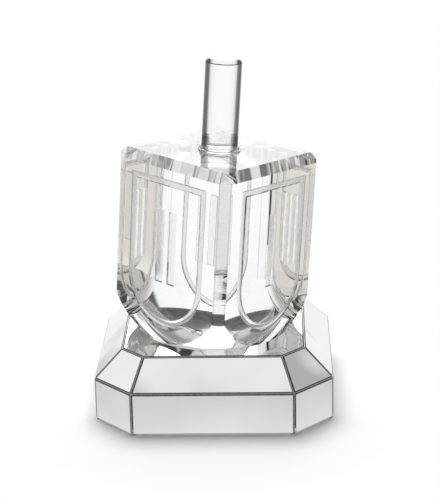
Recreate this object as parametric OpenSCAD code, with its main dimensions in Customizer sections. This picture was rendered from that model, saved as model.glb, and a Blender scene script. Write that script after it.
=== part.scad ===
// Cut crystal dreidel on a mirrored octagonal stand.
// The dreidel's lower end is a ball that sits in a round hole in the top mirror, so it can be
// turned, leant and lifted out. The stand is a core clad in mitred mirror strips.
// Millimetres, +Z up, the front of the stand faces -Y.

/* [Stand] */
// Width of the stand across two opposite walls
stand_w = 85; // [82:0.5:90]
// Length that each corner cut takes off a wall
corner_cut = 13.9; // [11:0.1:16]
// Height of the fold between the walls and the slopes
wall_h = 15.8; // [14:0.1:20]
// Run and rise of the slopes, which lie at 45 degrees
slope_run = 10; // [8:0.1:10.5]
// Thickness of the mirror glass
glass_t = 2; // [1.5:0.1:3]
// Open seam between neighbouring mirrors
seam = 0.8; // [0.4:0.1:1.2]
// Glue line behind the mirrors
glue_t = 0.1; // [0.05:0.05:0.3]
// Thickness of the felt under the core
felt_t = 1; // [0.8:0.1:2]
// Distance of the felt's edge from the outside of the walls
felt_inset = 3; // [2.5:0.1:6]
// Height of the walls' lower edge above the table
table_gap = 0.5; // [0.2:0.1:0.7]

/* [Seat] */
// Width of the top mirror between the seat hole and the middle of a slope
top_land = 5.525; // [4:0.005:7]
// Polished bevel around the hole's upper edge
seat_bevel = 0.6; // [0.2:0.1:0.9]
// Play between the ball end and the edge of the hole
seat_play = 0.15; // [0.1:0.05:0.3]
// Width that the well in the core has over the hole, each side
well_margin = 0.5; // [0.2:0.1:1]
// Depth of the well below the ball end
well_depth = 2.5; // [1:0.1:4]

/* [Crystal block] */
// Width of the block across two opposite faces
block_w = 52.5; // [50:0.5:54]
// Width of the bevels along the upright and top edges
edge_bevel = 3.2; // [2:0.1:4.5]
// Height of the block above the centre of its ball end
block_h = 39.6; // [36:0.1:46]
// Radius of the ball end
ball_r = 37.8; // [37:0.1:40]

/* [Face frames] */
// Width of the frame sunk in each face
frame_w = 34.8; // [28:0.1:38]
// Width of the frame's groove
frame_stroke = 2.4; // [1.2:0.1:3.2]
// Depth of the frame's groove
frame_depth = 0.6; // [0.3:0.1:1]
// Distance from the top bevel down to the frame
frame_gap = 3.5; // [2:0.1:6]
// Drop of the frame's round end below the centre of the ball end
frame_drop = 3.6; // [1:0.1:5]

/* [Stem] */
// Diameter of the stem
stem_d = 13.1; // [10:0.1:15]
// Length of the stem above the block
stem_h = 33; // [26:0.5:40]
// Bevel around the stem's top
stem_bevel = 1.1; // [0.5:0.1:2]
// Height of the ring around the stem's foot
foot_h = 1.7; // [1:0.1:2.5]
// How far the ring's foot stands out from the stem
foot_flare = 0.9; // [0.6:0.1:1.6]
// Play between the ring and the crystal
foot_play = 0.08; // [0.05:0.01:0.15]

/* [Pose in the seat] */
// Turn of the dreidel from standing corner forward, in degrees
turn = 5.3; // [-45:0.1:45]
// Lean of the dreidel to its right, in degrees
lean_right = 4; // [-5:0.1:5]
// Lean of the dreidel to the back, in degrees
lean_back = 2; // [-5:0.1:5]

/* [Hidden] */
$fn = 96;

// Tints of the cut crystal, the mirror glass, the painted core and the felt
crystal_tint = "#e9eef0";
mirror_tint = "#d5d8da";
core_tint = "#4a4749";
felt_tint = "#26262a";

// Overrun of every cutting tool past the face that it cuts
over = 1;

// The octagon: a quarter turn holds one flat wall and one corner wall
fold_angle = 45;
half_fold = fold_angle / 2;
mitre_share = tan(half_fold);
flat_reach = stand_w / 2;
corner_reach = (stand_w - corner_cut) / sqrt(2);
flat_len = stand_w - 2 * corner_cut;
corner_len = corner_cut * sqrt(2);
stand_h = wall_h + slope_run;
across = 2 * stand_w;

// Half a seam, measured along the mirror, and its parts along a slope
seam_back = seam / 2 / cos(half_fold);
seam_rise = seam_back * sin(fold_angle);
core_inset = glass_t + glue_t;

// Seat hole, and the height of the ball's centre above the table
seat_r = flat_reach - slope_run - top_land;
rim_r = seat_r + seat_bevel;
touch_r = ball_r + seat_play;
rise_low = sqrt(pow(touch_r, 2) - pow(seat_r, 2)) - seat_bevel;
rise_high = sqrt(pow(touch_r, 2) - pow(rim_r, 2));
ball_z = stand_h + max(rise_low, rise_high);
well_floor = ball_z - ball_r - well_depth;

// Frame on a face, measured from the centre of the ball end
frame_top = block_h - edge_bevel - frame_gap;

// Half a quarter turn brings a corner of the square block to the front
quarter = 90;
corner_turn = quarter / 2 + turn;

// Points of the mirror faces in a side view: at depth d behind the outside of a wall at reach r
function fold_low(r, d) = [r - d, wall_h - mitre_share * d];
function fold_high(r, d) = [r - slope_run - mitre_share * d, stand_h - d];

// A side view with its mirror image
function both_sides(half) = concat(half, [for (i = [len(half) - 1:-1:0]) [-half[i][0], half[i][1]]]);

// Runs a side view straight through the stand, facing a given way
module run_through(facing) {
    rotate([0, 0, facing])
        rotate([90, 0, 0])
            linear_extrude(height = across, center = true)
                children();
}

// Strip of mirror: a side view kept between the two seams of its own wall
module strip(facing, reach, length) {
    inner = reach - slope_run - core_inset;
    outer = reach + over;
    inner_half = length / 2 + (inner - reach) * mitre_share - seam_back;
    outer_half = length / 2 + (outer - reach) * mitre_share - seam_back;
    intersection() {
        run_through(facing)
            children();
        rotate([0, 0, facing])
            linear_extrude(height = stand_h)
                polygon([
                    [inner, -inner_half], [outer, -outer_half],
                    [outer, outer_half], [inner, inner_half]
                ]);
    }
}

// Side view of an upright mirror, mitred at the fold
module wall_side(reach) {
    drop = [0, -seam_back];
    polygon([
        [reach, table_gap],
        fold_low(reach, 0) + drop,
        fold_low(reach, glass_t) + drop,
        [reach - glass_t, table_gap]
    ]);
}

// Side view of a sloping mirror, mitred at both folds
module slope_side(reach) {
    back_up = [-seam_rise, seam_rise];
    polygon([
        fold_low(reach, 0) + back_up,
        fold_high(reach, 0) - back_up,
        fold_high(reach, glass_t) - back_up,
        fold_low(reach, glass_t) + back_up
    ]);
}

// Side view of the top mirror
module top_side(reach) {
    inward = [-seam_back, 0];
    polygon(both_sides([
        fold_high(reach, glass_t) + inward,
        fold_high(reach, 0) + inward
    ]));
}

// Side view of the core
module core_side(reach) {
    polygon(both_sides([
        [reach - core_inset, felt_t],
        fold_low(reach, core_inset),
        fold_high(reach, core_inset)
    ]));
}

// Side view of the felt
module felt_side(reach) {
    polygon(both_sides([
        [reach - felt_inset, 0],
        [reach - felt_inset, felt_t]
    ]));
}

// Octagonal solid: what the flat and the corner side views have in common.
// The first child is the view of the flats, the second the view of the corners.
module octagon_of() {
    intersection() {
        run_through(0)
            children(0);
        run_through(90)
            children(0);
        run_through(45)
            children(1);
        run_through(135)
            children(1);
    }
}

module flat_wall(facing) {
    color(mirror_tint)
        strip(facing, flat_reach, flat_len)
            wall_side(flat_reach);
}

module corner_wall(facing) {
    color(mirror_tint)
        strip(facing, corner_reach, corner_len)
            wall_side(corner_reach);
}

module flat_slope(facing) {
    color(mirror_tint)
        strip(facing, flat_reach, flat_len)
            slope_side(flat_reach);
}

module corner_slope(facing) {
    color(mirror_tint)
        strip(facing, corner_reach, corner_len)
            slope_side(corner_reach);
}

module wall_right() flat_wall(0);
module wall_back() flat_wall(90);
module wall_left() flat_wall(180);
module wall_front() flat_wall(270);
module wall_back_right() corner_wall(45);
module wall_back_left() corner_wall(135);
module wall_front_left() corner_wall(225);
module wall_front_right() corner_wall(315);

module slope_right() flat_slope(0);
module slope_back() flat_slope(90);
module slope_left() flat_slope(180);
module slope_front() flat_slope(270);
module slope_back_right() corner_slope(45);
module slope_back_left() corner_slope(135);
module slope_front_left() corner_slope(225);
module slope_front_right() corner_slope(315);

// Top mirror with the bevelled seat hole
module top_mirror() {
    color(mirror_tint)
        difference() {
            octagon_of() {
                top_side(flat_reach);
                top_side(corner_reach);
            }
            translate([0, 0, stand_h - glass_t - over])
                cylinder(r = seat_r, h = glass_t + 2 * over);
            translate([0, 0, stand_h - seat_bevel])
                cylinder(r1 = seat_r, r2 = rim_r + over, h = seat_bevel + over);
        }
}

// Core with the well that takes the ball end
module core() {
    color(core_tint)
        difference() {
            octagon_of() {
                core_side(flat_reach);
                core_side(corner_reach);
            }
            translate([0, 0, well_floor])
                cylinder(r = seat_r + well_margin, h = stand_h);
        }
}

module felt() {
    color(felt_tint)
        octagon_of() {
            felt_side(flat_reach);
            felt_side(corner_reach);
        }
}

// Sets the dreidel, drawn around the centre of its ball end, into the seat
module in_seat() {
    translate([0, 0, ball_z])
        rotate([-lean_back, lean_right, 0])
            rotate([0, 0, corner_turn])
                children();
}

// Side view of the block: straight sides with a bevelled top
module block_side() {
    half = block_w / 2;
    polygon(both_sides([
        [half, -ball_r - over],
        [half, block_h - edge_bevel],
        [half - edge_bevel, block_h]
    ]));
}

// Plan of the block: a square with bevelled corners
module block_plan() {
    half = block_w / 2;
    short = half - edge_bevel;
    polygon([
        [half, -short], [half, short], [short, half], [-short, half],
        [-half, short], [-half, -short], [-short, -half], [short, -half]
    ]);
}

// Everything that the ball end leaves: the ball itself and all above its centre
module ball_limit() {
    sphere(r = ball_r, $fn = 160);
    cylinder(r = ball_r + over, h = block_h + over);
}

// Outline of a face frame, with a flat top and a round lower end
module frame_outline(inset) {
    r = frame_w / 2 - inset;
    translate([0, -frame_drop])
        circle(r = r);
    translate([-r, -frame_drop])
        square([2 * r, frame_top + frame_drop - inset]);
}

module frame_groove() {
    translate([0, -block_w / 2 + frame_depth, 0])
        rotate([90, 0, 0])
            linear_extrude(height = frame_depth + over)
                difference() {
                    frame_outline(0);
                    frame_outline(frame_stroke);
                }
}

module crystal_block() {
    color(crystal_tint)
        in_seat()
            difference() {
                intersection() {
                    run_through(0)
                        block_side();
                    run_through(90)
                        block_side();
                    translate([0, 0, -ball_r - over])
                        linear_extrude(height = ball_r + block_h + 2 * over)
                            block_plan();
                    ball_limit();
                }
                for (face = [0:3])
                    rotate([0, 0, face * quarter])
                        frame_groove();
            }
}

module stem() {
    r = stem_d / 2;
    color(crystal_tint)
        in_seat()
            translate([0, 0, block_h])
                rotate_extrude()
                    polygon([
                        [0, 0], [r, 0], [r, stem_h - stem_bevel],
                        [r - stem_bevel, stem_h], [0, stem_h]
                    ]);
}

// Ring around the foot of the stem, flared towards the block
module foot_ring() {
    r = stem_d / 2 + foot_play;
    lip = foot_flare / 2;
    color(crystal_tint)
        in_seat()
            translate([0, 0, block_h])
                rotate_extrude()
                    polygon([
                        [r, foot_play], [r + foot_flare, foot_play],
                        [r + foot_flare, lip + foot_play],
                        [r + lip, foot_h], [r, foot_h]
                    ]);
}

crystal_block();
stem();
foot_ring();
top_mirror();
wall_front();
wall_right();
wall_back();
wall_left();
wall_front_right();
wall_back_right();
wall_back_left();
wall_front_left();
slope_front();
slope_right();
slope_back();
slope_left();
slope_front_right();
slope_back_right();
slope_back_left();
slope_front_left();
core();
felt();
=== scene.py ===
import math

import bmesh
import bpy
from mathutils import Matrix, Vector
from mathutils.geometry import tessellate_polygon

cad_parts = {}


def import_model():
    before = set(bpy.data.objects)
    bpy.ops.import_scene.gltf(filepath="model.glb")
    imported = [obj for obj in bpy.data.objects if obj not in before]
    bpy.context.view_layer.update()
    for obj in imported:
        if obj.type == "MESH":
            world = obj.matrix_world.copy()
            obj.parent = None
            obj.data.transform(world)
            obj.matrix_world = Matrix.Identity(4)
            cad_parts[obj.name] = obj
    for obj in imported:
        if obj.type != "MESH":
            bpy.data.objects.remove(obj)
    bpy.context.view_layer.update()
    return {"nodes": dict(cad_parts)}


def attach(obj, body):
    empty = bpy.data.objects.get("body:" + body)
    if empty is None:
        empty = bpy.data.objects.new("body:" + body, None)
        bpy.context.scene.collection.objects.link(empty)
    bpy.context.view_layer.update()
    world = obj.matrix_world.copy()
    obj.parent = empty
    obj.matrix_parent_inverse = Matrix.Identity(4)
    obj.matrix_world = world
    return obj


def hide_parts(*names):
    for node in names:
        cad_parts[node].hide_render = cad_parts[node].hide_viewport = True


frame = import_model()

MM = 0.001

# Sizes of the stand, in millimetres, as in the part's source
STAND_W, CORNER_CUT, WALL_H, SLOPE_RUN = 85.0, 13.9, 15.8, 10.0
GLASS_T, SEAM, TABLE_GAP = 2.0, 0.8, 0.5
FELT_T, FELT_INSET = 1.0, 3.0
TOP_LAND, SEAT_BEVEL, SEAT_PLAY = 5.525, 0.6, 0.15
STAND_H = WALL_H + SLOPE_RUN
# Distances of the sides and of the corner cuts from the middle
FLAT, CORNER = STAND_W / 2, (STAND_W - CORNER_CUT) / math.sqrt(2)
SEAT_R = FLAT - SLOPE_RUN - TOP_LAND
OCTAGON = 8
# The mirrors fold by 45 degrees from wall to slope and from slope to top
FOLD = math.pi / 4
MITRE = math.tan(FOLD / 2)

# Sizes of the dreidel, in millimetres, and its angles, in degrees, as in the part's source
BLOCK_W, EDGE_BEVEL, BLOCK_H, BALL_R = 52.5, 3.2, 39.6, 37.8
FRAME_W, FRAME_STROKE, FRAME_DEPTH, FRAME_GAP, FRAME_DROP = 34.8, 2.4, 0.6, 3.5, 3.6
STEM_D, STEM_H, STEM_BEVEL = 13.1, 33.0, 1.1
FOOT_H, FOOT_FLARE, FOOT_PLAY = 1.7, 0.9, 0.08
CORNER_FRONT, TURN, LEAN_RIGHT, LEAN_BACK = 45.0, 5.3, 4.0, 2.0
FRAME_TOP = BLOCK_H - EDGE_BEVEL - FRAME_GAP

# Height of the ball's middle, where the ball clears both edges of the seat's bevel by the play
TOUCH_R = BALL_R + SEAT_PLAY
BALL_Z = STAND_H + max(math.sqrt(TOUCH_R ** 2 - SEAT_R ** 2) - SEAT_BEVEL,
                       math.sqrt(TOUCH_R ** 2 - (SEAT_R + SEAT_BEVEL) ** 2))


def rot(axis, degrees):
    return Matrix.Rotation(math.radians(degrees), 4, axis)


IN_SEAT = (Matrix.Translation((0, 0, BALL_Z)) @ rot("Y", LEAN_RIGHT) @ rot("X", -LEAN_BACK)
           @ rot("Z", CORNER_FRONT + TURN))
ON_BLOCK = IN_SEAT @ Matrix.Translation((0, 0, BLOCK_H))


# mesh helpers
# Points that agree to so many decimals of a millimetre are one, and a smaller triangle is left out
MERGE_DIGITS, NO_AREA = 4, 1e-9
TURNED_STEPS = 128


def put(name, data):
    """A new object in the scene."""
    obj = bpy.data.objects.new(name, data)
    bpy.context.scene.collection.objects.link(obj)
    return obj


def spoke(i, steps):
    """Unit vector number i of a level ring of steps."""
    angle = 2 * math.pi * i / steps
    return Vector((math.cos(angle), math.sin(angle), 0))


class Builder:
    """Collects points, faces, their materials and their corner normals, in millimetres."""

    def __init__(self, material):
        self.material = material
        self.points, self.faces, self.materials, self.normals = [], [], [], []
        self.known = {}

    def point(self, place):
        key = tuple(round(c, MERGE_DIGITS) for c in place)
        if key not in self.known:
            self.known[key] = len(self.points)
            self.points.append(Vector(place))
        return self.known[key]

    def face(self, places, material=None, normals=None):
        """A face in the builder's own material or in another one, flat or with corner normals."""
        ids = [self.point(p) for p in places]
        keep = [i for i in range(len(ids)) if ids[i] != ids[i - 1]]
        if len(keep) < 3:
            return
        self.faces.append([ids[i] for i in keep])
        self.materials.append(material or self.material)
        self.normals.append(None if normals is None else [normals[i] for i in keep])

    def fill(self, loops, to_3d, material=None, flip=False):
        """Fills a flat outline with holes, given as 2-D loops."""
        flat = [p for loop in loops for p in loop]
        for triangle in tessellate_polygon([[Vector((p[0], p[1], 0)) for p in loop] for loop in loops]):
            a, b, c = (flat[i] for i in triangle)
            area = (b[0] - a[0]) * (c[1] - a[1]) - (b[1] - a[1]) * (c[0] - a[0])
            if abs(area) < NO_AREA:
                continue
            order = (a, b, c) if (area > 0) != flip else (a, c, b)
            self.face([to_3d(p) for p in order], material)

    def make(self, name, materials, matrix=Matrix.Identity(4)):
        """The finished object, with its material slots in the order given."""
        place = Matrix.Scale(MM, 4) @ matrix
        turn = matrix.to_3x3()
        mesh = bpy.data.meshes.new(name)
        mesh.from_pydata([place @ p for p in self.points], [], self.faces)
        for poly, material in zip(mesh.polygons, self.materials):
            poly.material_index = materials.index(material)
            poly.use_smooth = True
        mesh.update()
        corners = []
        for poly, given in zip(mesh.polygons, self.normals):
            own = poly.normal.copy()
            for k in range(poly.loop_total):
                corners.append(own if given is None else (turn @ given[k]).normalized())
        mesh.normals_split_custom_set(corners)
        for material in materials:
            mesh.materials.append(material)
        return put(name, mesh)


def revolve(profile, materials):
    """A turned piece from (radius, height) corners, and the material of each stretch between them."""
    build = Builder(materials[0])
    for (r0, z0), (r1, z1), material in zip(profile, profile[1:], materials):
        lean = Vector((z1 - z0, 0, r0 - r1)).normalized()
        low, high, rise = Vector((0, 0, z0)), Vector((0, 0, z1)), Vector((0, 0, lean.z))
        for i in range(TURNED_STEPS):
            e0, e1 = spoke(i, TURNED_STEPS), spoke(i + 1, TURNED_STEPS)
            n0, n1 = e0 * lean.x + rise, e1 * lean.x + rise
            build.face([e0 * r0 + low, e1 * r0 + low, e1 * r1 + high, e0 * r1 + high],
                       material, [n0, n1, n1, n0])
    return build


# node helpers
# Middle stretch of a noise, over which a colour changes
TINT_START, TINT_END = 0.3, 0.7


class Tree:
    """Adds nodes to the tree of a material or of the world, and joins them."""

    def __init__(self, owner):
        owner.use_nodes = True
        self.nodes, self.links = owner.node_tree.nodes, owner.node_tree.links

    def feed(self, socket, value):
        """Joins an output to a socket, or sets the socket to a number or a colour."""
        if hasattr(value, "is_output"):
            self.links.new(value, socket)
        elif isinstance(value, tuple):
            socket.default_value = (*value, 1)
        else:
            socket.default_value = value

    def feed_named(self, node, values):
        """Feeds sockets by their names, in which an underscore stands for a space."""
        for name, value in values.items():
            self.feed(node.inputs[name.replace("_", " ")], value)

    def feed_in_order(self, node, values):
        for socket, value in zip(node.inputs, values):
            self.feed(socket, value)

    def add(self, kind, **values):
        node = self.nodes.new("ShaderNode" + kind)
        self.feed_named(node, values)
        return node

    def calc(self, operation, *values):
        """The result of a Math node."""
        node = self.add("Math")
        node.operation = operation
        self.feed_in_order(node, values)
        return node.outputs[0]

    def noise(self, scale, detail):
        place = self.add("TexCoord").outputs["Object"]
        return self.add("TexNoise", Scale=scale, Detail=detail, Vector=place).outputs["Fac"]

    def span(self, value, low=0.0, high=1.0, start=0.0, end=1.0):
        """A number from low to high, as the value goes from start to end."""
        node = self.add("MapRange", Value=value, From_Min=start, From_Max=end, To_Min=low, To_Max=high)
        return node.outputs["Result"]

    def stops(self, value, table):
        """A colour ramp with its stops as (position, grey or colour)."""
        node = self.add("ValToRGB", Fac=value)
        elements = node.color_ramp.elements
        while len(elements) < len(table):
            elements.new(0.5)
        for element, (position, _) in zip(elements, table):
            element.position = position
        for element, (_, colour) in zip(sorted(elements, key=lambda e: e.position), table):
            element.color = (*(colour if isinstance(colour, tuple) else (colour,) * 3), 1)
        return node.outputs["Color"]

    def tint(self, value, low, high):
        return self.stops(value, [(TINT_START, low), (TINT_END, high)])

    def mix_colour(self, share, first, second):
        node = self.add("Mix")
        node.data_type = "RGBA"
        self.feed_named(node, {"Factor": share, "A": first, "B": second})
        return node.outputs["Result"]

    def mix_shader(self, share, first, second):
        node = self.add("MixShader")
        self.feed_in_order(node, (share, first.outputs[0], second.outputs[0]))
        return node


class Finish(Tree):
    """A material with one Principled shader."""

    def __init__(self, name):
        self.material = bpy.data.materials.new(name)
        super().__init__(self.material)
        self.shader = self.nodes["Principled BSDF"]

    def set(self, **values):
        self.feed_named(self.shader, values)

    def grain(self, scale, detail, rough, low, high):
        """Uneven roughness, and a colour between low and high, by one noise."""
        value = self.noise(scale, detail)
        self.set(Roughness=self.span(value, *rough), Base_Color=self.tint(value, low, high))
        return value

    def bump(self, value, strength, distance):
        node = self.add("Bump", Height=value, Strength=strength, Distance=distance)
        self.set(Normal=node.outputs["Normal"])


# materials
CRYSTAL_IOR = 1.52


def make_crystal(name, low, high):
    """Polished crystal; its greyer copies below are painted shade, not a tint of the glass."""
    finish = Finish(name)
    finish.set(Transmission_Weight=1.0, IOR=CRYSTAL_IOR)
    finish.grain(scale=90.0, detail=3.0, rough=(0.0, 0.006), low=low, high=high)
    return finish.material


def make_round(name, table):
    """Crystal with a round outside: clear in the middle, greyer where the view grazes it, as painted
    shade.
    """
    finish = Finish(name)
    finish.set(Transmission_Weight=1.0, IOR=CRYSTAL_IOR)
    finish.set(Roughness=finish.span(finish.noise(scale=120.0, detail=3.0), low=0.0, high=0.008))
    graze_shade = finish.add("LayerWeight", Blend=0.5).outputs["Facing"]
    finish.set(Base_Color=finish.stops(graze_shade, table))
    return finish.material


def make_table():
    """Top face of the block: its grey is painted shade, and its uneven roughness the slight haze of wiping
    and fine scratches.
    """
    finish = Finish("table_face_shade")
    finish.set(Transmission_Weight=0.80, IOR=CRYSTAL_IOR)
    finish.grain(scale=90.0, detail=3.0, rough=(0.05, 0.11),
                 low=(0.53, 0.53, 0.534), high=(0.58, 0.58, 0.584))
    return finish.material


def make_frosted():
    """Satin ground of the frames' grooves."""
    finish = Finish("frosted_cut")
    finish.set(Transmission_Weight=0.70, IOR=CRYSTAL_IOR)
    grain = finish.grain(scale=1800.0, detail=3.0, rough=(0.22, 0.38),
                         low=(0.90, 0.905, 0.91), high=(0.98, 0.98, 0.98))
    finish.bump(grain, strength=0.25, distance=0.0002)
    return finish.material


def make_mark():
    """Lightly etched ground of the game marks."""
    finish = Finish("etched_mark")
    finish.set(Transmission_Weight=0.88, IOR=CRYSTAL_IOR)
    grain = finish.grain(scale=1800.0, detail=3.0, rough=(0.14, 0.26),
                         low=(0.88, 0.89, 0.90), high=(0.96, 0.965, 0.97))
    finish.bump(grain, strength=0.15, distance=0.0002)
    return finish.material


def make_edge(name, low, high):
    """Ground edge of the mirrors or of the seat's hole; the near-black one on the stem's top is painted
    shade.
    """
    finish = Finish(name)
    finish.grain(scale=700.0, detail=3.0, rough=(0.2, 0.4), low=low, high=high)
    return finish.material


def make_mirror():
    """Silvered glass with a faint haze, not quite flat."""
    finish = Finish("mirror_glass")
    finish.set(Metallic=1.0, Coat_Weight=1.0, Coat_Roughness=0.0)
    finish.grain(scale=45.0, detail=4.0, rough=(0.015, 0.045),
                 low=(0.785, 0.785, 0.785), high=(0.835, 0.835, 0.837))
    finish.bump(finish.noise(scale=28.0, detail=1.0), strength=1.0, distance=0.0035)
    return finish.material


def make_core():
    """Dark paint on the core, which shows in the seams and in the well."""
    finish = Finish("painted_core")
    grain = finish.grain(scale=260.0, detail=5.0, rough=(0.45, 0.7),
                         low=(0.19, 0.174, 0.169), high=(0.26, 0.242, 0.236))
    finish.bump(grain, strength=0.2, distance=0.0003)
    return finish.material


def make_bead():
    """Grey metal in the seams between the mirrors."""
    finish = Finish("seam_metal")
    finish.set(Metallic=1.0)
    finish.grain(scale=900.0, detail=3.0, rough=(0.12, 0.25),
                 low=(0.24, 0.24, 0.243), high=(0.38, 0.38, 0.385))
    return finish.material


def make_felt():
    """Black felt with a soft sheen."""
    finish = Finish("felt")
    finish.set(Sheen_Weight=0.6)
    fibre = finish.grain(scale=1500.0, detail=6.0, rough=(0.85, 1.0),
                         low=(0.012, 0.012, 0.013), high=(0.04, 0.04, 0.043))
    finish.bump(fibre, strength=0.6, distance=0.0004)
    return finish.material


CRYSTAL = make_crystal("cut_crystal", (0.985, 0.99, 0.99), (1.0, 1.0, 1.0))
# The greyer and beige copies of the crystal, for bevels and groove lines, are painted shade on clear
# glass.
POLISHED_SHADE = make_crystal("polished_edge_shade", (0.86, 0.86, 0.865), (0.95, 0.95, 0.955))
BEVEL_SHADE = make_crystal("bevelled_top_shade", (0.52, 0.505, 0.475), (0.70, 0.685, 0.655))
TABLE = make_table()
GROOVE_SHADE = make_crystal("groove_line_shade", (0.26, 0.255, 0.25), (0.42, 0.415, 0.41))
# The grey near the edges of the stem and of the ball is painted shade, by how far the view grazes them.
ROD = make_round("drawn_crystal_edge_shade", [
    (0.0, 0.97), (0.12, 0.92), (0.24, 0.80), (0.31, 0.52), (0.37, 0.06),
    (0.60, 0.015), (0.80, 0.05), (0.90, 0.9), (1.0, 1.0)])
BALL = make_round("ball_crystal_edge_shade", [
    (0.0, 1.0), (0.42, 0.98), (0.58, 0.60), (0.72, 0.35), (0.86, 0.30), (0.95, 0.7), (1.0, 1.0)])
FROSTED, MARK = make_frosted(), make_mark()
ARRIS = make_edge("ground_arris", (0.16, 0.162, 0.165), (0.30, 0.302, 0.305))
# The near-black edge on the stem's top is painted shade, not the colour of a ground edge.
EDGE = make_edge("stem_edge_shade", (0.03, 0.032, 0.033), (0.07, 0.073, 0.075))
RIM = make_edge("seat_rim", (0.085, 0.08, 0.078), (0.15, 0.143, 0.14))
MIRROR, BEAD, CORE, FELT = make_mirror(), make_bead(), make_core(), make_felt()


# crystal block
# Half its width, with and without the bevel, and the heights where its sides and upright bevels end
HALF, SHORT = BLOCK_W / 2, BLOCK_W / 2 - EDGE_BEVEL
SIDE_TOP, BEVEL_TOP = BLOCK_H - EDGE_BEVEL, BLOCK_H - EDGE_BEVEL / 2
# Distance of an upright bevel from the axis, and half its width
BEVEL_AT, BEVEL_HALF = (HALF + SHORT) / math.sqrt(2), EDGE_BEVEL / math.sqrt(2)
SIDES, SIDE_STEPS, BEVEL_STEPS, BALL_RINGS = 4, 64, 8, 40
FRAME_STEPS, GROOVE_ROWS = 72, 8
# Points of the ball's rim that lie closer than this are one
RIM_CLOSE = 1e-3
# Plain game marks sunk in the faces: one to four upright bars, side by side
MARK_W, MARK_PITCH, MARK_FOOT, MARK_TOP = 3.6, 5.6, -5.2, 21.5
MARK_DEPTH, MARK_WALL = 0.5, 0.3
# How far the normals of an upright bevel lean off true, and vary across it, in degrees, by polishing
POLISH_LEAN, POLISH_ROUND = -9.0, 6.0


def mark_bars(count, wall=0.0):
    """Outlines of the bars on a face, as (right, up), counter-clockwise, inside a wall all round."""
    bars = []
    foot, top = MARK_FOOT + wall, MARK_TOP - wall
    for i in range(count):
        middle = (i - (count - 1) / 2) * MARK_PITCH
        left, right = middle - MARK_W / 2 + wall, middle + MARK_W / 2 - wall
        bars.append([(left, top), (left, foot), (right, foot), (right, top)])
    return bars


def frame_path():
    """Stations round the middle of the frame's groove: place and the outward offset of its edge."""
    r = FRAME_W / 2 - FRAME_STROKE / 2
    top = FRAME_TOP - FRAME_STROKE / 2
    path = [((-r, top), (-1, 1)), ((-r, -FRAME_DROP), (-1, 0))]
    for i in range(1, FRAME_STEPS):
        angle = math.pi + math.pi * i / FRAME_STEPS
        out = (math.cos(angle), math.sin(angle))
        path.append(((r * out[0], -FRAME_DROP + r * out[1]), out))
    return path + [((r, -FRAME_DROP), (1, 0)), ((r, top), (1, 1))]


def beside(station, distance):
    """A point beside a station of the frame, outwards or, below zero, inwards."""
    (x, y), (right, up) = station
    return (x + right * distance, y + up * distance)


def ball_arc(distance, reach, steps):
    """Where a flat at a distance from the axis meets the ball, as (right, up), over its reach."""
    radius = math.sqrt(BALL_R ** 2 - distance ** 2)
    arc = []
    for i in range(steps + 1):
        right = distance * math.tan(math.atan(reach / distance) * (2 * i / steps - 1))
        arc.append((right, -math.sqrt(radius ** 2 - right ** 2)))
    return arc


def polished(share):
    """Normal across an upright bevel that faces the front, from its left (-1) to its right (1)."""
    angle = math.radians(POLISH_LEAN + POLISH_ROUND * share)
    return Vector((math.sin(angle), -math.cos(angle), 0))


def cut_groove(build, path, turn, on_face):
    """The frame's groove on one face, with a round bottom and a darker line of painted shade along both
    edges.
    """
    edge = FRAME_STROKE / 2
    for start, end in zip(path, path[1:] + path[:1]):
        along = (Vector(end[0]) - Vector(start[0])).normalized()
        for row in range(GROOVE_ROWS):
            quad, normals = [], []
            for station, step in ((start, row + 1), (start, row), (end, row), (end, row + 1)):
                across = 1 - 2 * step / GROOVE_ROWS
                quad.append(on_face(beside(station, edge * across), FRAME_DEPTH * (1 - across * across)))
                out = Vector(station[1])
                if abs(out.x) == abs(out.y) == 1:
                    # a square corner takes the direction of the stretch that it is on
                    out = Vector((along.y, -along.x))
                slope = -2 * FRAME_DEPTH * across / edge
                normals.append((turn @ Vector((out.x * slope, -1, out.y * slope))).normalized())
            # the first and the last row of the groove are tinted darker as painted shade
            build.face(quad, GROOVE_SHADE if row in (0, GROOVE_ROWS - 1) else FROSTED, normals)


def cut_marks(build, count, on_face):
    """The sunk game marks of one face, with sloping walls."""
    def sunk(p):
        return on_face(p, MARK_DEPTH)

    for mouth, bottom in zip(mark_bars(count), mark_bars(count, MARK_WALL)):
        for i in range(len(mouth)):
            j = (i + 1) % len(mouth)
            build.face([on_face(mouth[i]), on_face(mouth[j]), sunk(bottom[j]), sunk(bottom[i])], MARK)
        build.fill([bottom], sunk, MARK)


def ball_end(build, rim):
    """The ball from its rim, in rings down to the pole."""
    def on_ball(p, ring):
        if ring == 0:
            return p
        angle = math.acos(-p.z / BALL_R) * (1 - ring / BALL_RINGS)
        out = Vector((p.x, p.y, 0)).normalized()
        return out * (BALL_R * math.sin(angle)) + Vector((0, 0, -BALL_R * math.cos(angle)))

    for p, q in zip(rim, rim[1:] + rim[:1]):
        for ring in range(BALL_RINGS):
            quad = [on_ball(q, ring), on_ball(p, ring), on_ball(p, ring + 1), on_ball(q, ring + 1)]
            build.face(quad, BALL, [v.normalized() for v in quad])


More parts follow.
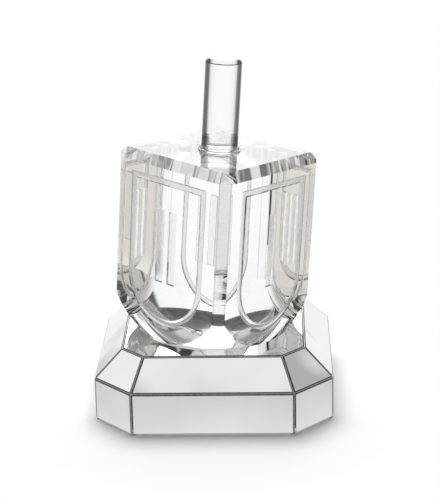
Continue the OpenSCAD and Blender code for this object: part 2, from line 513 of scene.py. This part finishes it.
def crystal_block():
    """A square block with bevelled edges, its lower end cut to a ball, and framed marks on each face."""
    build = Builder(CRYSTAL)
    path = frame_path()
    frame_outside, frame_inside = ([beside(station, way * FRAME_STROKE / 2) for station in path]
                                   for way in (1, -1))
    side_arc = ball_arc(HALF, SHORT, SIDE_STEPS)
    bevel_arc = ball_arc(BEVEL_AT, BEVEL_HALF, BEVEL_STEPS)
    bevel_top = [Vector((s, -BEVEL_AT, BEVEL_TOP - (BEVEL_TOP - SIDE_TOP) * abs(s) / BEVEL_HALF))
                 for s, _ in bevel_arc]
    middle = BEVEL_STEPS // 2
    rims = []
    for side in range(SIDES):
        turn = Matrix.Rotation(-2 * math.pi / SIDES * side, 3, "Z")
        left, right = (turn @ Matrix.Rotation(way * math.pi / SIDES, 3, "Z") for way in (-1, 1))

        def on_face(p, depth=0.0):
            return turn @ Vector((p[0], depth - HALF, p[1]))

        build.fill([side_arc + [(SHORT, SIDE_TOP), (-SHORT, SIDE_TOP)], frame_outside], on_face)
        build.fill([frame_inside] + mark_bars(side + 1), on_face)
        cut_groove(build, path, turn, on_face)
        cut_marks(build, side + 1, on_face)

        # top bevel between its two upright ones, tinted beige grey as painted shade
        build.face([left @ p for p in bevel_top[middle:]] + [right @ p for p in bevel_top[:middle + 1]]
                   + [turn @ Vector((x, -SHORT, BLOCK_H)) for x in (SHORT, -SHORT)], BEVEL_SHADE)

        # upright bevel to its right, in strips tinted grey as painted shade, the outer two darker than the
        # rest
        arc = [right @ Vector((s, -BEVEL_AT, z)) for s, z in bevel_arc]
        ends = [right @ p for p in bevel_top]
        normals = [right @ polished(s / BEVEL_HALF) for s, _ in bevel_arc]
        for i in range(BEVEL_STEPS):
            build.face([arc[i], arc[i + 1], ends[i + 1], ends[i]],
                       BEVEL_SHADE if i in (0, BEVEL_STEPS - 1) else POLISHED_SHADE,
                       [normals[i], normals[i + 1], normals[i + 1], normals[i]])
        rims.append([on_face(p) for p in side_arc] + arc)

    # the top face, greyed with painted shade
    build.face([(x * SHORT, y * SHORT, BLOCK_H) for x, y in ((-1, -1), (1, -1), (1, 1), (-1, 1))], TABLE)

    # the sides went round clockwise, and the rim runs the other way
    rim = rims[0] + rims[3] + rims[2] + rims[1]
    ball_end(build, [p for i, p in enumerate(rim) if (p - rim[i - 1]).length > RIM_CLOSE])
    return build


block = crystal_block().make(
    "crystal_block_cut", [CRYSTAL, FROSTED, MARK, POLISHED_SHADE, BALL, BEVEL_SHADE, GROOVE_SHADE, TABLE], IN_SEAT)
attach(block, "dreidel")
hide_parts("crystal_block")
block.visible_shadow = False

# stem, sunk a hair into the block, so that light passes from one to the other as through clear glue
GLUE_SINK, STEM_ARRIS = 0.02, 0.2
STEM_R, SHOULDER = STEM_D / 2, STEM_H - STEM_BEVEL
STEM_PROFILE = [
    (0, -GLUE_SINK), (STEM_R, -GLUE_SINK), (STEM_R, SHOULDER - STEM_ARRIS),
    (STEM_R - STEM_ARRIS / 2, SHOULDER + STEM_ARRIS / 2), (STEM_R - STEM_BEVEL, STEM_H), (0, STEM_H)]
# Its shoulder ring is near-black and its top bevel grey, both painted shade.
stem = revolve(STEM_PROFILE, [ROD, ROD, EDGE, POLISHED_SHADE, CRYSTAL])
stem = stem.make("stem_turned", [ROD, CRYSTAL, POLISHED_SHADE, EDGE], ON_BLOCK)
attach(stem, "dreidel")
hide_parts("stem")
stem.visible_shadow = False

# foot ring
RING_ARRIS, RING_STEPS = 0.15, 8


def ring_profile():
    """Section of the ring: a low lip with a ground edge, and a hollow flank from it up to the stem."""
    inside = STEM_R + FOOT_PLAY
    outside = inside + FOOT_FLARE
    lip = FOOT_FLARE / 2
    flank_foot, flank_rise = lip + FOOT_PLAY, FOOT_H - lip - FOOT_PLAY
    profile = [(inside, FOOT_PLAY), (outside - RING_ARRIS, FOOT_PLAY), (outside, FOOT_PLAY + RING_ARRIS),
               (outside, flank_foot)]
    for i in range(1, RING_STEPS + 1):
        angle = math.pi / 2 * i / RING_STEPS
        profile.append((outside - (FOOT_FLARE - lip) * math.sin(angle),
                        flank_foot + flank_rise * (1 - math.cos(angle))))
    return profile + [(inside, FOOT_H), (inside, FOOT_PLAY)]


ring = ring_profile()
ring = revolve(ring, [CRYSTAL] * len(ring)).make("foot_ring_bead", [CRYSTAL], ON_BLOCK)
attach(ring, "foot_ring")
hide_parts("foot_ring")
ring.visible_shadow = False


# upright and sloping mirrors
GLASS_ARRIS = 0.25
# Points closer than this, in metres, are one, and faces within so many degrees are one flat
WELD, FLAT_WITHIN = 1e-6, 2


def arrised(node):
    """A mirror strip with its edges ground off, in place of the plain solid."""
    bm = bmesh.new()
    bm.from_mesh(frame["nodes"][node].data)
    bmesh.ops.remove_doubles(bm, verts=bm.verts, dist=WELD)
    bmesh.ops.dissolve_limit(bm, angle_limit=math.radians(FLAT_WITHIN), verts=bm.verts, edges=bm.edges)
    bmesh.ops.bevel(bm, geom=bm.edges[:], offset=GLASS_ARRIS * MM, offset_type="OFFSET", segments=1,
                    profile=0.5, affect="EDGES", clamp_overlap=True, material=1)
    bmesh.ops.recalc_face_normals(bm, faces=bm.faces)
    mesh = bpy.data.meshes.new(node + "_glass")
    bm.to_mesh(mesh)
    bm.free()
    mesh.materials.append(MIRROR)
    mesh.materials.append(ARRIS)
    obj = put(node + "_glass", mesh)
    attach(obj, "stand")
    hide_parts(node)


for side in ("front", "right", "back", "left", "front_right", "back_right", "back_left", "front_left"):
    arrised("wall_" + side)
    arrised("slope_" + side)


# top mirror
HOLE_STEPS = 160


def octagon(flat, corner):
    """Corners of an octagon, by the distances of its sides and of its corner cuts from the middle."""
    short = corner * math.sqrt(2) - flat
    return [(flat, -short), (flat, short), (short, flat), (-short, flat),
            (-flat, short), (-flat, -short), (-short, -flat), (short, -flat)]


def level(points, z):
    """Flat points set at one height."""
    return [(*p, z) for p in points]


def top_mirror():
    """The top glass, with ground edges, mitred sides and the bevelled hole of the seat."""
    build = Builder(MIRROR)
    bottom, shoulder, bevel_foot = STAND_H - GLASS_T, STAND_H - GLASS_ARRIS, STAND_H - SEAT_BEVEL
    seam_back = SLOPE_RUN + SEAM / 2 / math.cos(FOLD / 2)

    def outline(back):
        return octagon(FLAT - seam_back - back, CORNER - seam_back - back)

    def circle(radius):
        return [tuple(spoke(i, HOLE_STEPS) * radius)[:2] for i in range(HOLE_STEPS)]

    top, under = outline(GLASS_ARRIS), outline(MITRE * GLASS_T)
    mouth, bore = circle(SEAT_R + SEAT_BEVEL), circle(SEAT_R)
    build.fill([top, mouth], lambda p: (*p, STAND_H))
    build.fill([under, bore], lambda p: (*p, bottom), flip=True)

    top, under = level(top, STAND_H), level(under, bottom)
    edge = level(outline(MITRE * GLASS_ARRIS), shoulder)
    for i in range(OCTAGON):
        j = (i + 1) % OCTAGON
        build.face([edge[i], edge[j], top[j], top[i]], ARRIS)
        build.face([under[i], under[j], edge[j], edge[i]])

    mouth, neck, foot = level(mouth, STAND_H), level(bore, bevel_foot), level(bore, bottom)
    slant = math.sqrt(0.5)
    for i in range(HOLE_STEPS):
        j = (i + 1) % HOLE_STEPS
        e0, e1 = spoke(i, HOLE_STEPS), spoke(j, HOLE_STEPS)
        n0, n1 = (Vector((0, 0, slant)) - e * slant for e in (e0, e1))
        build.face([mouth[i], mouth[j], neck[j], neck[i]], RIM, [n0, n1, n1, n0])
        build.face([neck[i], neck[j], foot[j], foot[i]], RIM, [-e0, -e1, -e1, -e0])
    return build


top = top_mirror().make("top_mirror_glass", [MIRROR, RIM, ARRIS])
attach(top, "stand")
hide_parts("top_mirror")

# core, which keeps its solid
core_mesh = frame["nodes"]["core"].data
core_mesh.materials.clear()
core_mesh.materials.append(CORE)

# seam beads
BEAD_DEPTH, BEAD_R, BEAD_ASIDE, BEAD_STEPS = 0.42, 0.27, 0.12, 16


def bead_run(build, start, end):
    """A straight round bead with closed ends."""
    along = (end - start).normalized()
    side = along.orthogonal().normalized()
    over = along.cross(side)
    outs = [side * e.x + over * e.y for e in (spoke(k, BEAD_STEPS) for k in range(BEAD_STEPS))]
    for n0, n1 in zip(outs, outs[1:] + outs[:1]):
        build.face([start + n0 * BEAD_R, start + n1 * BEAD_R, end + n1 * BEAD_R, end + n0 * BEAD_R],
                   normals=[n0, n1, n1, n0])
    build.face([start + n * BEAD_R for n in reversed(outs)])
    build.face([end + n * BEAD_R for n in outs])


def bead_knot(build, centre):
    """A small ball where beads meet."""
    def out(k, row):
        rise = spoke(row, BEAD_STEPS)
        return spoke(k, BEAD_STEPS) * rise.y + Vector((0, 0, rise.x))

    for k in range(BEAD_STEPS):
        for row in range(BEAD_STEPS // 2):
            normals = [out(k, row), out(k, row + 1), out(k + 1, row + 1), out(k + 1, row)]
            build.face([centre + n * BEAD_R for n in normals], normals=normals)


def seam_beads():
    """The grey metal bead in the seams, which leaves a dark line open along one side of it."""
    build = Builder(BEAD)
    mitred = MITRE * BEAD_DEPTH
    outside = octagon(FLAT - BEAD_DEPTH, CORNER - BEAD_DEPTH)
    inside = octagon(FLAT - SLOPE_RUN - mitred, CORNER - SLOPE_RUN - mitred)
    rings = ((outside, TABLE_GAP + BEAD_R), (outside, WALL_H - mitred), (inside, STAND_H - BEAD_DEPTH))
    foot, low, high = ([Vector(p) for p in level(points, z)] for points, z in rings)
    for i in range(OCTAGON):
        j = (i + 1) % OCTAGON
        aside = Vector((0, 0, 1)).cross(low[i]).normalized() * BEAD_ASIDE
        bead_run(build, foot[i] - aside, low[i] - aside)
        bead_run(build, low[i] - aside, high[i] - aside)
        bead_run(build, low[i], low[j])
        bead_run(build, high[i], high[j])
    for centre in foot + low + high:
        bead_knot(build, centre)
    return build


beads = seam_beads().make("seam_bead", [BEAD])
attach(beads, "stand")

# felt
FELT_ALONG, FELT_ROWS = 14, 6
# How far the cut edge lies back, how much that varies and how far its rounding goes in
FELT_BACK, FELT_UNEVEN, FELT_ROUND = 0.12, 0.10, 0.35
# Steps of the two waves of the uneven edge, in radians from point to point
WAVE_SHORT, WAVE_LONG = 1.7, 0.61


def felt_rim():
    """Points along the outline that the felt is cut to."""
    corners = [Vector(p) for p in octagon(FLAT - FELT_INSET, CORNER - FELT_INSET)]
    return [a.lerp(b, k / FELT_ALONG) for a, b in zip(corners, corners[1:] + corners[:1])
            for k in range(FELT_ALONG)]


def felt_pad(rim):
    """Felt cut to an octagon, with a rounded and slightly uneven edge."""
    build = Builder(FELT)
    rings = []
    for row in range(FELT_ROWS + 1):
        angle = math.pi * (row / FELT_ROWS - 0.5)
        ring = []
        for k, p in enumerate(rim):
            wave = math.sin(WAVE_SHORT * k) * math.sin(WAVE_LONG * k + row)
            back = FELT_BACK + FELT_UNEVEN * wave + FELT_ROUND * (1 - math.cos(angle))
            ring.append((*(p * (1 - back / p.length)), FELT_T / 2 * (1 + math.sin(angle))))
        rings.append(ring)
    for lower, upper in zip(rings, rings[1:]):
        for k in range(len(rim)):
            j = (k + 1) % len(rim)
            build.face([lower[k], lower[j], upper[j], upper[k]])
    build.fill([[p[:2] for p in rings[-1]]], lambda p: (*p, FELT_T))
    build.fill([[p[:2] for p in rings[0]]], lambda p: (*p, 0.0), flip=True)
    return build


rim = felt_rim()
pad = felt_pad(rim).make("felt_sheet", [FELT])
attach(pad, "stand")
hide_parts("felt")
side = 2 * (FLAT - FELT_INSET) * MM


# floor and world
# What glass and mirrors see round the object, from straight behind it (0) round to the front (1):
# on the floor, where it is a painted reflection that the floor glows with, low down and half way up,
# and the degrees by which these are turned
WARM, WARM_PALE = (0.68, 0.64, 0.58), (0.74, 0.71, 0.66)
FRONT_ROOM = [(0.60, WARM_PALE), (0.70, 0.97), (1.0, 0.95)]
ROOM_PAINTED_ON_FLOOR = [(0.0, 1.0), (0.20, 1.0), (0.24, 0.60), (0.30, 0.60), (0.36, WARM)] + FRONT_ROOM
LOW_DOWN = [(0.0, 1.0), (0.20, 1.0), (0.22, 0.06), (0.315, 0.07), (0.345, WARM)] + FRONT_ROOM
HALF_WAY = [(0.0, 1.0), (0.435, 1.0), (0.452, 0.80), (0.482, 0.52), (0.56, (0.58, 0.55, 0.51)),
            (0.72, (0.44, 0.42, 0.39)), (1.0, (0.50, 0.47, 0.44))]
LOW_TURN, HALF_WAY_TURN = 6, 11
# Rise of a direction, from level (0) to straight up (1), where half way up and the ceiling take over
TO_HALF_WAY = [(0.0, 0.0), (0.2, 0.0), (0.42, 1.0), (1.0, 1.0)]
TO_CEILING = [(0.0, 0.0), (0.80, 0.0), (0.90, 1.0), (1.0, 1.0)]
CEILING, WHITE = (0.97, 0.97, 0.97), (1, 1, 1)
EVEN_LIGHT = 0.26

FLOOR_HALF = 4.0
FLOOR_PALE = (0.92, 0.92, 0.92)
# The floor that mirrors see, by the distance from the object's axis in metres, with painted shade away
# from it
MIRROR_FLOOR_SHADE = [(0.0, 0.92), (0.045, 0.92), (0.09, 0.65), (1.0, 0.65)]
# Distances, in metres, over which mirrors and glass begin to see the painted room on the floor, and over
# which the floor turns white for the camera
MIRROR_START, MIRROR_END = 0.12, 0.22
GLASS_START, GLASS_END = 0.045, 0.11
WHITE_START, WHITE_END = 0.06, 0.088
# Share of plain white glow, painted light, in the floor that glass shows near the object
GLASS_WHITE_SHARE = 0.45


def around(tree, xyz, table, turn):
    """The colour in a table for a direction or a place, turned by some degrees."""
    angle = tree.calc("ARCTAN2", xyz.outputs["X"], xyz.outputs["Y"])
    turned = tree.calc("WRAP", tree.calc("ADD", angle, math.radians(turn)), math.pi, -math.pi)
    return tree.stops(tree.calc("DIVIDE", tree.calc("ABSOLUTE", turned), math.pi), table)


def floor_material():
    """Pale floor, glowing with a painted room for glass and mirrors, that fades to white for the camera.
    """
    material = bpy.data.materials.new("pale_floor")
    tree = Tree(material)
    tree.nodes.clear()
    path = tree.add("LightPath").outputs
    in_glass = path["Is Transmission Ray"]
    in_mirror = tree.calc("SUBTRACT", path["Is Glossy Ray"], in_glass)
    place = tree.add("TexCoord").outputs["Object"]
    room = around(tree, tree.add("SeparateXYZ", Vector=place), ROOM_PAINTED_ON_FLOOR, LOW_TURN)
    length = tree.add("VectorMath")
    length.operation = "LENGTH"
    tree.feed(length.inputs[0], place)
    distance = length.outputs["Value"]

    # mirrors see the floor glow without its shadow, with painted shade that darkens it away from the
    # object
    near = tree.stops(distance, MIRROR_FLOOR_SHADE)
    near = tree.mix_colour(tree.calc("MAXIMUM", in_mirror, 0.0), WHITE, near)
    mirror_painted_room = tree.calc("MULTIPLY", in_mirror, tree.span(distance, start=MIRROR_START, end=MIRROR_END))
    glass_painted_room = tree.calc("MULTIPLY", in_glass, tree.span(distance, start=GLASS_START, end=GLASS_END))
    painted_room_share = tree.calc("MAXIMUM", mirror_painted_room, glass_painted_room)
    glow = tree.add("Emission", Color=tree.mix_colour(painted_room_share, near, room), Strength=1.0)

    # for the camera it fades to white away from the object, past its shadow
    white = tree.span(distance, start=WHITE_START, end=WHITE_END)
    share = tree.calc("MULTIPLY", path["Is Camera Ray"], white)
    share = tree.calc("MAXIMUM", share, tree.calc("MULTIPLY", in_glass, GLASS_WHITE_SHARE))
    share = tree.calc("MAXIMUM", share, in_mirror)
    share = tree.calc("MAXIMUM", share, painted_room_share)
    surface = tree.mix_shader(share, tree.add("BsdfDiffuse", Color=FLOOR_PALE), glow)
    tree.add("OutputMaterial", Surface=surface.outputs[0])
    return material


def floor():
    mesh = bpy.data.meshes.new("floor")
    corners = [(x * FLOOR_HALF, y * FLOOR_HALF, 0) for x, y in ((-1, -1), (1, -1), (1, 1), (-1, 1))]
    mesh.from_pydata(corners, [], [(0, 1, 2, 3)])
    mesh.materials.append(floor_material())
    obj = put("floor", mesh)


floor()


def world():
    """White for the camera, a white tent with a darker room for glass and mirrors, else even light."""
    studio = bpy.data.worlds.new("studio")
    bpy.context.scene.world = studio
    tree = Tree(studio)
    tree.nodes.clear()
    path = tree.add("LightPath").outputs
    xyz = tree.add("SeparateXYZ", Vector=tree.add("TexCoord").outputs["Generated"])
    low, mid = around(tree, xyz, LOW_DOWN, LOW_TURN), around(tree, xyz, HALF_WAY, HALF_WAY_TURN)
    room = tree.mix_colour(tree.stops(xyz.outputs["Z"], TO_HALF_WAY), low, mid)
    room = tree.mix_colour(tree.stops(xyz.outputs["Z"], TO_CEILING), room, CEILING)
    tent = tree.add("Background", Color=room, Strength=1.0)
    even = tree.add("Background", Color=WHITE, Strength=EVEN_LIGHT)
    white = tree.add("Background", Color=WHITE, Strength=1.0)
    shine = tree.calc("MAXIMUM", path["Is Glossy Ray"], path["Is Transmission Ray"])
    seen = tree.mix_shader(path["Is Camera Ray"], tree.mix_shader(shine, even, tent), white)
    tree.add("OutputWorld", Surface=seen.outputs[0])


world()


# lamps, in metres
def lamp(name, size, radiance, place, target, seen=False):
    """A soft box of a given width and height; it shows in glass and mirrors only where it is seen."""
    data = bpy.data.lights.new(name, "AREA")
    data.shape = "RECTANGLE"
    data.size, data.size_y = size
    data.energy = radiance * math.pi * size[0] * size[1]
    obj = put(name, data)
    obj.location = place
    obj.rotation_euler = (Vector(target) - Vector(place)).to_track_quat("-Z", "Y").to_euler()
    obj.visible_camera = False
    obj.visible_glossy = seen
    obj.visible_transmission = seen


lamp("softbox_top", size=(0.8, 0.8), radiance=5.1, place=(-0.06, 0.36, 0.95), target=(0, 0, 0.03))
lamp("softbox_back", size=(0.9, 0.34), radiance=1.65, place=(0, 0.9, 0.40), target=(0, 0, 0.08), seen=True)


# camera: degrees round the object, up and of roll, then the point it looks at and its distance in mm
AZIMUTH, ELEVATION, ROLL = 1.97, 19.97, -1.24
LOOK_AT, DISTANCE = Vector((2.28, 0, 53.62)), 610.0
# Focal length and height of the picture, in pixels, the sensor's size, in mm, and the clip, in metres
FOCAL_PIXELS, PICTURE_PIXELS, SENSOR = 1678.6, 500.0, 36.0
CLIP_START, CLIP_END = 0.01, 50.0


def camera():
    az, el, roll = (math.radians(a) for a in (AZIMUTH, ELEVATION, ROLL))
    back = Vector((math.sin(az) * math.cos(el), -math.cos(az) * math.cos(el), math.sin(el)))
    right = (-back).cross(Vector((0, 0, 1))).normalized()
    up = right.cross(-back)
    x = right * math.cos(roll) + up * math.sin(roll)
    y = up * math.cos(roll) - right * math.sin(roll)
    data = bpy.data.cameras.new("camera")
    data.sensor_width = SENSOR
    data.lens = FOCAL_PIXELS * SENSOR / PICTURE_PIXELS
    data.clip_start, data.clip_end = CLIP_START, CLIP_END
    obj = put("camera", data)
    matrix = Matrix((x, y, back)).transposed().to_4x4()
    matrix.translation = LOOK_AT * MM + back * (DISTANCE * MM)
    obj.matrix_world = matrix
    bpy.context.scene.camera = obj


camera()
bpy.context.scene.view_settings.view_transform = "Standard"
